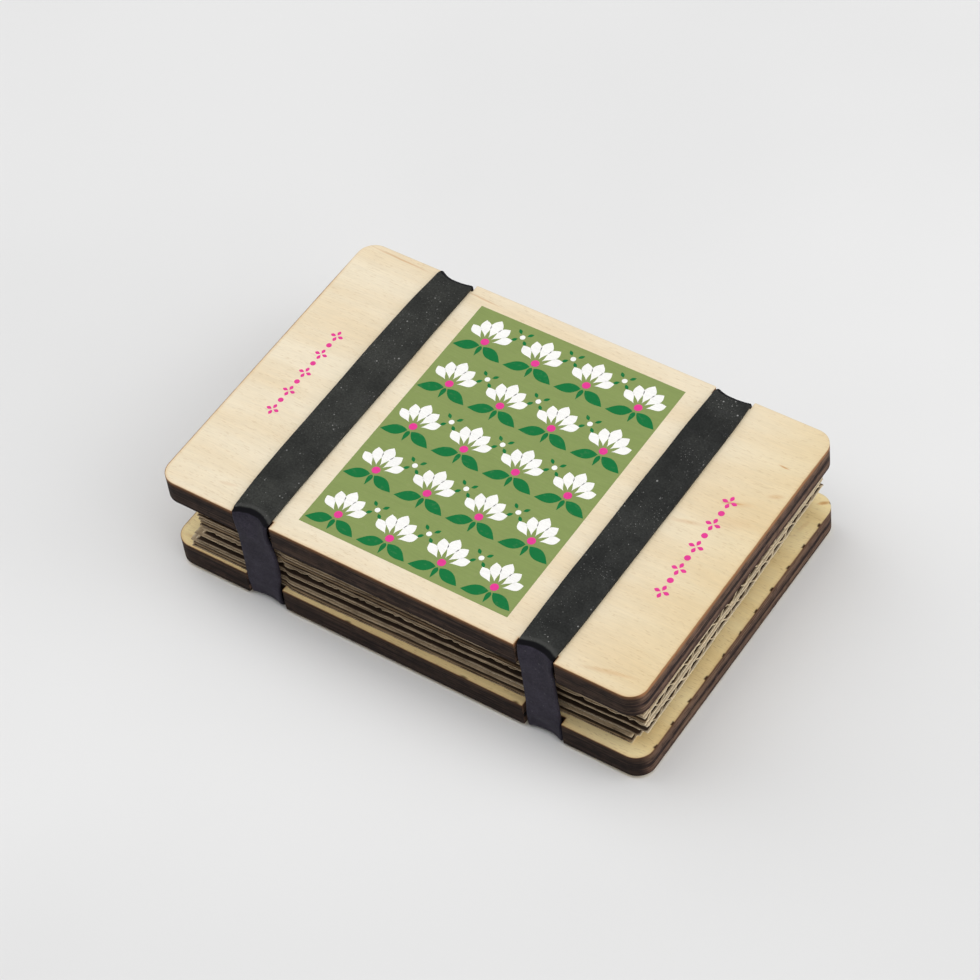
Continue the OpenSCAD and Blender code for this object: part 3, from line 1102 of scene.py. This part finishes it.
def add_medium(shell, place, low, high, low_swell, high_swell, recess, phase, rng):
    """The wavy paper between two liners, glued to them at its crests. Its flutes drift a
    little against the sheet's long edges, which it stops short of."""
    steps = int(place["width"] / FLUTE_PITCH * FLUTE_STEPS)
    half_w = place["width"] / 2
    run = np.linspace(recess - half_w, half_w - recess, steps + 1)
    room = high - low
    reach = (room - MEDIUM_T) / 2 + CREST_BITE
    drift = rng.choice([-1, 1]) * rng.uniform(*FLUTE_DRIFT) * MM
    stations = np.linspace(-1, 1, MEDIUM_STATIONS)
    stations = np.sign(stations) * (1 - (1 - np.abs(stations)) ** STATION_POWER)
    points, tint = [], []
    for layer in (0.5, -0.5):
        for index, share in enumerate(stations):
            wave = np.sin(2 * math.pi * (run + half_w + share * drift) / FLUTE_PITCH
                          + math.radians(phase))
            rise = room / 2 + reach * np.sign(wave) * np.abs(wave) ** WAVE_FULLNESS
            slope = np.gradient(rise, run)
            offset = layer * MEDIUM_T / np.sqrt(1 + slope ** 2)
            at_end = index in (0, MEDIUM_STATIONS - 1)
            cut = MEDIUM_CUT + ragged(rng, len(run), *MEDIUM_ROUGH) if at_end else 0.0
            along = share * (place["length"] / 2 - cut)
            sway = stands_out(place, along) * run / half_w
            sway[0] += rng.uniform(0, MEDIUM_WANDER)
            sway[-1] -= rng.uniform(0, MEDIUM_WANDER)
            x, y = laid(place, along + 0 * run, run + sway - slope * offset)
            share_up = np.clip((rise + offset) / room, 0, 1)
            swelled = (1 - share_up) * low_swell(x, y) + share_up * high_swell(x, y)
            points.append(np.stack([x, y, low + rise + offset + swelled], axis=1))
            edge = np.full(len(run), MEDIUM_TINT)
            edge[[0, -1]] = MEDIUM_SIDE_TINT
            tint += [1.0] * len(run) if at_end else edge.tolist()
    size = len(run)
    far = MEDIUM_STATIONS * size
    faces = []
    for index in range(MEDIUM_STATIONS - 1):
        for k in range(size - 1):
            a, b = index * size + k, (index + 1) * size + k
            faces.append([a, b, b + 1, a + 1])
            faces.append([far + a, far + a + 1, far + b + 1, far + b])
    rim = list(range(size))
    rim += [index * size + size - 1 for index in range(1, MEDIUM_STATIONS)]
    rim += [(MEDIUM_STATIONS - 1) * size + k for k in range(size - 2, -1, -1)]
    rim += [index * size for index in range(MEDIUM_STATIONS - 2, 0, -1)]
    for start, end in zip(rim, rim[1:] + rim[:1]):
        faces.append([start, end, far + end, far + start])
    shell.add(np.concatenate(points).tolist(), faces, tint)


def add_whiskers(shell, place, level, swell_at, rng):
    """Loose fibres that stand out of a liner's cut ends, as thin three-sided spikes."""
    for end in (-1, 1):
        for _ in range(WHISKERS_PER_EDGE):
            y = rng.uniform(-WHISKER_SPAN, WHISKER_SPAN) * place["width"]
            length = rng.uniform(*WHISKER_L) * MM
            sweep = rng.uniform(-WHISKER_SWEEP, WHISKER_SWEEP)
            lift = rng.uniform(-WHISKER_LIFT, WHISKER_LIFT)
            radius = rng.uniform(*WHISKER_R) * MM
            root_x = end * (place["length"] / 2 - WHISKER_ROOT)
            root = np.array([*laid(place, root_x, y), level])
            root[2] += float(swell_at(np.array([root[0]]), np.array([root[1]]))[0])
            direction = np.array([end * math.cos(sweep), math.sin(sweep), lift])
            tip = root + direction * length
            points = [tip.tolist()]
            for corner in range(3):
                angle = corner * 2 * math.pi / 3
                points.append((root + np.array(
                    [0, radius * math.cos(angle), radius * math.sin(angle)])).tolist())
            faces = [[0, 1, 2], [0, 2, 3], [0, 3, 1], [3, 2, 1]]
            if end < 0:
                faces = [face[::-1] for face in faces]
            shell.add(points, faces, 1.0)


def make_cardboard(number, rng):
    """A corrugated sheet: two liners with the wavy paper between them."""
    node = f"cardboard_{number}"
    place = place_of(node)

    def low_swell(x, y):
        return swell(number - 1, x, y)

    def high_swell(x, y):
        return swell(number, x, y)

    liners = Shell()
    low, high = place["low"], place["high"]
    upper_side = TORN_ROUGH if number == TORN_SHEET else SIDE_ROUGH
    add_slab(liners, place, low, LINER_T, low_swell, rng, END_ROUGH, SIDE_ROUGH, inside=1)
    add_slab(liners, place, high - LINER_T, LINER_T, high_swell, rng, END_ROUGH, upper_side,
             inside=-1)
    add_whiskers(liners, place, low + LINER_T / 2, low_swell, rng)
    add_whiskers(liners, place, high - LINER_T / 2, high_swell, rng)
    liner = new_piece(f"{node}_liners", liners.points, liners.faces, [kraft_card], node,
                      35, {"cut": liners.tint})
    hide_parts(node)
    flutes = Shell()
    recess, phase = MEDIUM_EDGES[(number - 1) % len(MEDIUM_EDGES)]
    add_medium(flutes, place, low + LINER_T, high - LINER_T, low_swell, high_swell, recess,
               phase, rng)
    new_piece(f"{node}_flutes", flutes.points, flutes.faces, [flute_card], node,
              50, {"cut": flutes.tint})


def make_blotter(gap, number, rng):
    """A sheet of blotting paper."""
    node = f"blotter_{gap}_{number}"
    place = place_of(node)

    def swell_at(x, y):
        return swell(gap, x, y)

    sheet = Shell()
    thickness = place["high"] - place["low"] - 2 * PAPER_CLEAR
    add_slab(sheet, place, place["low"] + PAPER_CLEAR, thickness, swell_at, rng, PAPER_ROUGH,
             PAPER_ROUGH, PAPER_RECESS)
    piece = new_piece(f"{node}_sheet", sheet.points, sheet.faces, [blotting_card], node,
                      35, {"cut": sheet.tint})
    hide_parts(node)


make_band("left", left_rubber, np.random.default_rng(SEED + 1))
make_band("right", right_rubber, np.random.default_rng(SEED + 2))
for number in range(1, CARD_COUNT + 1):
    make_cardboard(number, rng)
for gap in range(1, CARD_COUNT):
    for number in range(1, PAPERS_PER_GAP + 1):
        make_blotter(gap, number, rng)


# Print on the top board

FIELD_MIDDLE = Vector((-0.35 * MM, 0.35 * MM))
FIELD_L = 52.2 * MM
FIELD_W = 69.3 * MM
INK_T = 0.012 * MM
INK_SUNK = 0.004 * MM
PRINT_COLUMNS = 4
PRINT_ROWS = 5

# A fan: its petals' turns and reach from the foot, how far the outer ones shrink, a heart, two
# leaves and a stem below, and how far the foot lies below the middle of its cell
FAN_TURNS = (-54, -27, 0, 27, 54)
FAN_REACH = 1.9 * MM
FAN_FOOT_SHARE = 0.16
PETAL_L, PETAL_W, PETAL_BLUNT = 5.5 * MM, 2.75 * MM, 1.5
PETAL_SHRINK_TURN = 260
HEART_R, HEART_RISE = 0.95 * MM, 0.5 * MM
LEAF_L, LEAF_W, LEAF_BLUNT = 6.0 * MM, 2.7 * MM, 0.85
LEAF_TURN, LEAF_APART, LEAF_FALL = 112, 0.5 * MM, 0.9 * MM
STEM_L, STEM_W, STEM_BLUNT = 3.1 * MM, 1.1 * MM, 0.6

# A sprig between the fans: a dot with four small leaves round it, and its place in a cell
DOT_R = 0.62 * MM
SPRIG_TURNS = (45, 135, 225, 315)
SPRIG_REACH, SPRIG_L, SPRIG_W = 1.05 * MM, 1.6 * MM, 0.8 * MM
SPRIG_ROW_SHARE = 0.74

# The rows at the ends: shares of a row's width for its dots and its four-petalled diamonds
ROW_DOT_SHARE = 0.2
ROW_TURNS = (0, 90, 180, 270)
ROW_REACH_SHARE, ROW_PETAL_L_SHARE, ROW_PETAL_W_SHARE, ROW_BLUNT = 0.06, 0.44, 0.26, 1.2

# Each row's place along X, its start and end along Y, its width and its number of figures
PRINT_ROWS_AT_ENDS = {
    "left": (-49.4 * MM, -13.5 * MM, 13.6 * MM, 3.2 * MM, 9),
    "right": (49.5 * MM, -15.0 * MM, 15.1 * MM, 3.6 * MM, 9),
}


def outward(middle, angle, reach):
    """The point that lies so far from another, at an angle in degrees."""
    turn = math.radians(angle)
    return (middle[0] + reach * math.cos(turn), middle[1] + reach * math.sin(turn))


def lens(start, angle, length, width, blunt=1.0, steps=12):
    """Outline of a leaf or petal that grows from start along an angle in degrees."""
    shares = np.linspace(0, 1, steps + 1)
    half = width / 2 * np.sin(np.pi * shares ** blunt)
    turn = math.radians(angle)
    cos, sin = math.cos(turn), math.sin(turn)
    edge = [(share * length, h) for share, h in zip(shares, half)]
    edge += [(share * length, -h) for share, h in zip(shares[-2:0:-1], half[-2:0:-1])]
    return [(start[0] + x * cos - y * sin, start[1] + x * sin + y * cos) for x, y in edge]


def disc(middle, radius, steps=20):
    """Outline of a dot."""
    return [(middle[0] + radius * math.cos(2 * math.pi * k / steps),
             middle[1] + radius * math.sin(2 * math.pi * k / steps)) for k in range(steps)]


def print_layer(name, outlines, layer, finish):
    """Flat shapes of one ink on the top board's face, a little above the layers below it."""
    shell = Shell()
    low = top_high.z - INK_SUNK
    high = top_high.z + layer * INK_T
    for outline in outlines:
        area = sum(a[0] * b[1] - b[0] * a[1] for a, b in zip(outline, outline[1:] + outline[:1]))
        ring = outline if area > 0 else outline[::-1]
        count = len(ring)
        points = [(x, y, high) for x, y in ring] + [(x, y, low) for x, y in ring]
        faces = between_rings(count, 0, count)
        faces.append(list(range(count)))
        faces.append(list(range(2 * count - 1, count - 1, -1)))
        shell.add(points, faces)
    return new_piece(name, shell.points, shell.faces, [finish], "top_board", 40)


def fan_petals(foot):
    """Petals that spread upwards round a foot, the outer ones smaller."""
    petals = []
    for turn in FAN_TURNS:
        size = 1.0 - abs(turn) / PETAL_SHRINK_TURN
        root = outward(foot, 90 + turn, FAN_REACH)
        petals.append(lens(root, 90 + turn, PETAL_L * size, PETAL_W * size, PETAL_BLUNT))
    return petals


def fan_leaves(foot):
    """A pair of leaves and a stem under a fan."""
    low = foot[1] - LEAF_FALL
    leaves = [lens((foot[0] - side * LEAF_APART, low), 90 + side * LEAF_TURN, LEAF_L, LEAF_W,
                   LEAF_BLUNT) for side in (-1, 1)]
    leaves.append(lens((foot[0], low), 270, STEM_L, STEM_W, STEM_BLUNT))
    return leaves


def print_field():
    """A repeat of fans of white petals on pairs of green leaves, with sprigs between them."""
    half_l, half_w = FIELD_L / 2, FIELD_W / 2
    corner = [(sx * half_l + FIELD_MIDDLE.x, sy * half_w + FIELD_MIDDLE.y)
              for sx, sy in ((-1, -1), (1, -1), (1, 1), (-1, 1))]
    cell_l, cell_w = FIELD_L / PRINT_COLUMNS, FIELD_W / PRINT_ROWS
    leaves, petals, hearts = [], [], []
    for column in range(PRINT_COLUMNS):
        for row in range(PRINT_ROWS):
            x = corner[0][0] + (column + 0.5) * cell_l
            y = corner[0][1] + (row + 0.5) * cell_w
            foot = (x, y - FAN_FOOT_SHARE * cell_w)
            petals += fan_petals(foot)
            hearts.append(disc((foot[0], foot[1] + HEART_RISE), HEART_R))
            leaves += fan_leaves(foot)
    for column in range(1, PRINT_COLUMNS):
        for row in range(PRINT_ROWS):
            middle = (corner[0][0] + column * cell_l,
                      corner[0][1] + (row + SPRIG_ROW_SHARE) * cell_w)
            petals.append(disc(middle, DOT_R))
            leaves += [lens(outward(middle, turn, SPRIG_REACH), turn, SPRIG_L, SPRIG_W)
                       for turn in SPRIG_TURNS]
    print_layer("print_field", [corner], 1, field_ink)
    print_layer("print_leaves", leaves, 2, leaf_ink)
    print_layer("print_petals", petals, 3, white_ink)
    print_layer("print_drops", hearts, 4, pink_ink)


def print_row(name, x, y_start, y_end, width, count):
    """A row of four-petalled diamonds and dots along Y."""
    shapes = []
    pitch = (y_end - y_start) / count
    for index in range(count):
        middle = (x, y_start + (index + 0.5) * pitch)
        if index % 2:
            shapes.append(disc(middle, ROW_DOT_SHARE * width))
        else:
            shapes += [lens(outward(middle, turn, ROW_REACH_SHARE * width), turn,
                            ROW_PETAL_L_SHARE * width, ROW_PETAL_W_SHARE * width, ROW_BLUNT)
                       for turn in ROW_TURNS]
    print_layer(name, shapes, 1, pink_ink)


print_field()
for side, row in PRINT_ROWS_AT_ENDS.items():
    print_row(f"print_row_{side}", *row)


# Floor, light and camera

FLOOR_HALF = 2.5

# Painted shade on the floor: its colour fades along one direction, given as an azimuth, to
# these shares in front of the press and behind it
FLOOR_AZIMUTH = 40.0
FLOOR_FRONT, FLOOR_BEHIND = 0.953, 0.975
FRONT_FADE = (45 * MM, 105 * MM)
BEHIND_FADE = (-55 * MM, -115 * MM)
FLOOR_LOW, FLOOR_HIGH = srgb(230, 230, 230), srgb(233, 233, 233)
BACKDROP = srgb(232, 232, 232)

CAMERA_AIM = Vector((4.168 * MM, -7.993 * MM, top_high.z))
CAMERA_AZIMUTH = 39.715
CAMERA_ELEVATION = 49.735
CAMERA_DISTANCE = 688.94 * MM
CAMERA_ROLL = -8.085
CAMERA_LENS = 121.34

# The sky's strength straight overhead, what it gains towards the right and the back, what it
# loses towards the ends and the sides of the press, and the least that it has anywhere
SKY_OVERHEAD = 2.18
SKY_RIGHT = 0.06
SKY_BACK = 0.35
SKY_ENDS = 0.6
SKY_SIDES = 6.3
SKY_LEAST = 0.15


def direction(azimuth, elevation):
    """Unit vector towards an azimuth, which is 0 in front and 90 on the right."""
    turn, rise = math.radians(azimuth), math.radians(elevation)
    return Vector((math.sin(turn) * math.cos(rise), -math.cos(turn) * math.cos(rise),
                   math.sin(rise)))


def make_floor():
    """A pale, very slightly mottled sheet under the press, with painted shade that makes it
    greyer further in front of it and behind it."""
    forward = direction(FLOOR_AZIMUTH, 0.0)

    def build(graph):
        place = graph.place()
        x, y, _ = graph.split(place)
        ahead = graph.plus(graph.times(x, forward.x), graph.times(y, forward.y))
        # Painted shade: the floor darkens in front of the press and behind it.
        shade = graph.times(graph.fade(ahead, *FRONT_FADE, 1.0, FLOOR_FRONT),
                            graph.fade(ahead, *BEHIND_FADE, 1.0, FLOOR_BEHIND))
        clouds = graph.noise(place, *FLOOR_CLOUDS)
        tooth = graph.noise(place, *FLOOR_TOOTH)
        colour = graph.mix(graph.fade(clouds, 0.35, 0.65), FLOOR_LOW, FLOOR_HIGH)
        return {"Base Color": graph.shaded(colour, shade),
                "Normal": graph.bump(tooth, FLOOR_RELIEF, 0.15)}
    mesh = bpy.data.meshes.new("floor")
    corners = [(sx * FLOOR_HALF, sy * FLOOR_HALF, 0.0)
               for sx, sy in ((-1, -1), (1, -1), (1, 1), (-1, 1))]
    mesh.from_pydata(corners, [], [(0, 1, 2, 3)])
    mesh.materials.append(material("pale_floor", build, Roughness=0.9,
                                   Specular_IOR_Level=0.1))
    floor = bpy.data.objects.new("floor", mesh)
    bpy.context.scene.collection.objects.link(floor)


def make_sky():
    """Pale light from a broad strip overhead that runs from end to end of the press."""
    world = bpy.data.worlds.new("sky")
    bpy.context.scene.world = world
    world.use_nodes = True
    graph = Graph(world.node_tree)
    x, y, _ = graph.split(graph.node("ShaderNodeTexCoord").outputs["Generated"])
    lean = graph.plus(graph.times(x, SKY_RIGHT), graph.times(y, SKY_BACK))
    fall = graph.plus(graph.times(x, x, SKY_ENDS), graph.times(y, y, SKY_SIDES))
    glow = graph.minus(graph.plus(lean, SKY_OVERHEAD), fall)
    plain = world.node_tree.nodes["Background"]
    plain.inputs["Color"].default_value = (1.0, 1.0, 1.0, 1.0)
    graph.feed(plain.inputs["Strength"], graph.math("MAXIMUM", glow, SKY_LEAST))
    seen = graph.node("ShaderNodeBackground", {"Color": BACKDROP, "Strength": 1.0})
    path = graph.node("ShaderNodeLightPath").outputs
    mirrored = graph.math("MAXIMUM", path["Is Glossy Ray"], path["Is Transmission Ray"])
    either = graph.node("ShaderNodeMixShader", {
        "Fac": graph.math("MAXIMUM", path["Is Camera Ray"], mirrored)})
    world.node_tree.links.new(plain.outputs[0], either.inputs[1])
    world.node_tree.links.new(seen.outputs[0], either.inputs[2])
    output = world.node_tree.nodes["World Output"]
    world.node_tree.links.new(either.outputs[0], output.inputs["Surface"])


def make_lamp(name, azimuth, elevation, distance, side, power):
    """A soft square lamp: where it stands as seen from the press, its side in metres, and its
    power in watts."""
    data = bpy.data.lights.new(name, "AREA")
    data.shape = "SQUARE"
    data.size = side
    data.energy = power
    lamp = bpy.data.objects.new(name, data)
    towards = direction(azimuth, elevation)
    lamp.location = towards * distance
    lamp.rotation_mode = "QUATERNION"
    lamp.rotation_quaternion = towards.to_track_quat("Z", "Y")
    bpy.context.scene.collection.objects.link(lamp)


def make_camera():
    """The photograph's viewpoint."""
    data = bpy.data.cameras.new("camera")
    data.lens = CAMERA_LENS
    data.sensor_width = 36.0
    camera = bpy.data.objects.new("camera", data)
    back = direction(CAMERA_AZIMUTH, CAMERA_ELEVATION)
    camera.location = CAMERA_AIM + back * CAMERA_DISTANCE
    camera.rotation_mode = "QUATERNION"
    camera.rotation_quaternion = back.to_track_quat("Z", "Y") @ Quaternion(
        (0, 0, 1), math.radians(CAMERA_ROLL))
    bpy.context.scene.collection.objects.link(camera)
    bpy.context.scene.camera = camera


make_floor()
make_sky()
make_lamp("window", azimuth=122.0, elevation=26.0, distance=1.5, side=0.9, power=3.2)
make_camera()
bpy.context.scene.view_settings.view_transform = "Standard"
